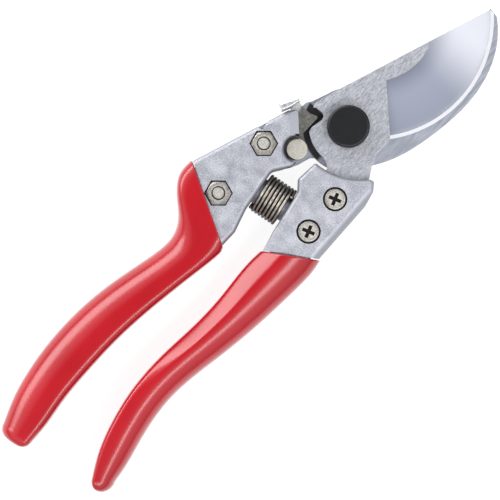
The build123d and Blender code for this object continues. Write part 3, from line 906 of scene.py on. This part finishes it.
# %% The coil's line
COIL_RADIUS = 6.0  # mm, from the spring's axis to the middle of the wire
WIRE_RADIUS = 0.54  # mm
TURNS = 7.6
FIRST_TURN = math.radians(200)  # where round the axis the wire begins
CLOSING = 0.07  # share of the advance that is eased, so that the end turns lie closer
END_GAP = 1.2  # wire radii between a seat and the middle of the wire's end
WIRE_ROWS, WIRE_AROUND = 560, 14


def coil():
    """The helix in mm from the pivot, and for each of its points the way out from the axis.

    It advances from seat to seat by a share t, of which a part is eased as (1 - cos pi t) / 2."""
    axis = SEATS[1] - SEATS[0]
    length = np.linalg.norm(axis)
    axis /= length
    up = np.array([0.0, 0.0, 1.0])
    side = np.cross(up, axis)
    t = np.linspace(0, 1, WIRE_ROWS)[:, None]
    eased = 0.5 - 0.5 * np.cos(math.pi * t)
    free = length - 2 * END_GAP * WIRE_RADIUS
    along = ((1 - CLOSING) * t + CLOSING * eased) * free + END_GAP * WIRE_RADIUS
    turn = 2 * math.pi * TURNS * t + FIRST_TURN
    out = np.cos(turn) * side + np.sin(turn) * up
    return SEATS[0] + axis * along + COIL_RADIUS * out, out


# %% The wire round that line
def make_spring():
    """A tube: a circle in the plane of two directions, both square to the line and each other."""
    line, out = coil()
    ahead = np.gradient(line, axis=0)
    ahead /= np.linalg.norm(ahead, axis=1, keepdims=True)
    out -= ahead * np.sum(out * ahead, axis=1, keepdims=True)
    out /= np.linalg.norm(out, axis=1, keepdims=True)
    beside = np.cross(ahead, out)
    angle = (np.arange(WIRE_AROUND) / WIRE_AROUND * 2 * math.pi)[None, :, None]
    circle = out[:, None] * np.cos(angle) + beside[:, None] * np.sin(angle)
    return shell("return_spring_wire", (line[:, None] + WIRE_RADIUS * circle) * MM + PIVOT)


SPRING = make_spring()


# %% [markdown]
# ## Which body each grip follows
# A grip is fixed to its handle, so it rides on that side of the tool and takes the place of the
# plainer grip in the imported model. The spring is pressed between the two sides; it stays where
# it is made and takes the place of the imported spring.

# %% Bodies, finishes and replaced nodes
def settle():
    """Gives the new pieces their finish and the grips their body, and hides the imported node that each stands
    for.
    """
    for piece, finish, body, node in (
        (LEFT_GRIP, "red_coating", "left_side", "left_grip"),
        (RIGHT_GRIP, "red_coating", "right_side", "right_grip"),
    ):
        piece.data.materials.append(FINISHES[finish])
        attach(piece, body)
        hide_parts(node)
        print(piece.name, "rides on", body, "and stands for", node)
    SPRING.data.materials.append(FINISHES["spring_wire"])
    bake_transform(SPRING)
    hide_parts("return_spring")
    print(SPRING.name, "is blended between its seats and stands for return_spring")


settle()


# %% [markdown]
# ## Camera
# The camera looks straight down. The tool lies across the view from lower left to upper right,
# so the camera is turned about its own axis. It stands well back with a long lens, which keeps
# the upright walls of the heads almost out of sight.

# %% Camera
VIEW_CENTRE = (3.76, -48.24)  # mm from the pivot, the point in the middle of the view
VIEW_WIDTH = 153.85 * MM
VIEW_DISTANCE = 0.9
VIEW_LEVEL = 0.6  # share of the tool's height at which the view is as wide as VIEW_WIDTH
UP = Vector((-0.682, 0.731, 0))  # the view's upward direction, seen on the table


def make_camera():
    """A level view turned so that UP points upwards; the lens follows from width and distance."""
    data = bpy.data.cameras.new("camera")
    camera = bpy.data.objects.new("camera", data)
    bpy.context.scene.collection.objects.link(camera)
    camera.location = at(*VIEW_CENTRE)
    camera.location.z = CAD_BOX[1].z * VIEW_LEVEL + VIEW_DISTANCE
    back = Vector((0, 0, 1))
    right = UP.cross(back)
    camera.rotation_euler = Matrix((right, UP, back)).transposed().to_euler()
    data.lens = data.sensor_width * VIEW_DISTANCE / VIEW_WIDTH
    data.clip_start = 0.01
    bpy.context.scene.camera = camera
    print("camera", round(camera.location.z, 3), "m high with a lens of", round(data.lens, 1), "mm")


make_camera()


# %% [markdown]
# ## Table
# The table is a plain white sheet. It glows by itself, so the shadows on it stay pale, as they
# are on a sheet that is lit from all sides, and the pale ground needs no stronger lamp.

# %% Table
TABLE_HALF = 3.0  # m, far beyond the edges of the view
TABLE_GLOW = 0.88


def make_table():
    """One large square at height 0."""
    corners = [(x * TABLE_HALF, y * TABLE_HALF, 0) for x, y in ((-1, -1), (1, -1), (1, 1), (-1, 1))]
    mesh = bpy.data.meshes.new("table")
    mesh.from_pydata(corners, [], [(0, 1, 2, 3)])
    table = bpy.data.objects.new("table", mesh)
    bpy.context.scene.collection.objects.link(table)
    paint = Paint("table_white", base_color=(0.25, 0.25, 0.25, 1), roughness=0.8,
                  emission_color=(1.0, 1.0, 1.0, 1), emission_strength=TABLE_GLOW)
    mesh.materials.append(paint.material)
    print("table", 2 * TABLE_HALF, "m square")


make_table()


# %% [markdown]
# ## Light
# Polished metal shows what stands round it, so the room is as much a part of the light as the
# lamps are. Its tones rise from dim walls to a pale ceiling with a darker patch overhead, where a
# camera would stand. A broad window at the left models the forms, and a narrow strip at the
# right draws the thin bright line along each grip.

# %% Room
# Shares of the way from straight below (0) to straight above (1), each with its colour.
ROOM_TONES = [
    (0.0, (0.16, 0.17, 0.19)), (0.3, (0.50, 0.52, 0.56)), (0.6, (0.86, 0.88, 0.92)),
    (0.88, (0.72, 0.74, 0.78)), (0.96, (0.22, 0.23, 0.25)), (1.0, (0.14, 0.15, 0.16)),
]


def make_room():
    """A sky whose colour depends only on how high one looks."""
    world = bpy.data.worlds.new("room")
    bpy.context.scene.world = world
    world.use_nodes = True
    web = Web(world.node_tree)
    where = web.node("ShaderNodeTexCoord", {}, out="Generated")
    upward = web.node("ShaderNodeSeparateXYZ", {}, where, out="Z")
    tones = web.node("ShaderNodeValToRGB", {"stops": ROOM_TONES}, upward)
    web.plug(web.tree.nodes["Background"].inputs[0], tones)
    print("room of", len(ROOM_TONES), "tones")


make_room()


# %% Window and strip
def soft_box(name, place, size, power):
    """A rectangular area lamp of size (m) and power (W) at a place (m) that points at the tool."""
    data = bpy.data.lights.new(name, "AREA")
    data.shape = "RECTANGLE"
    data.size, data.size_y = size
    data.energy = power
    lamp = bpy.data.objects.new(name, data)
    bpy.context.scene.collection.objects.link(lamp)
    lamp.location = place
    lamp.rotation_euler = (-Vector(place)).to_track_quat("-Z", "Y").to_euler()
    print(name, power, "W at", place)


soft_box("window", (-0.72, 0.05, 0.44), (1.1, 0.4), 6.2)
soft_box("strip", (0.36, -0.05, 0.78), (1.1, 0.13), 3.0)
bpy.context.scene.view_settings.view_transform = "Standard"
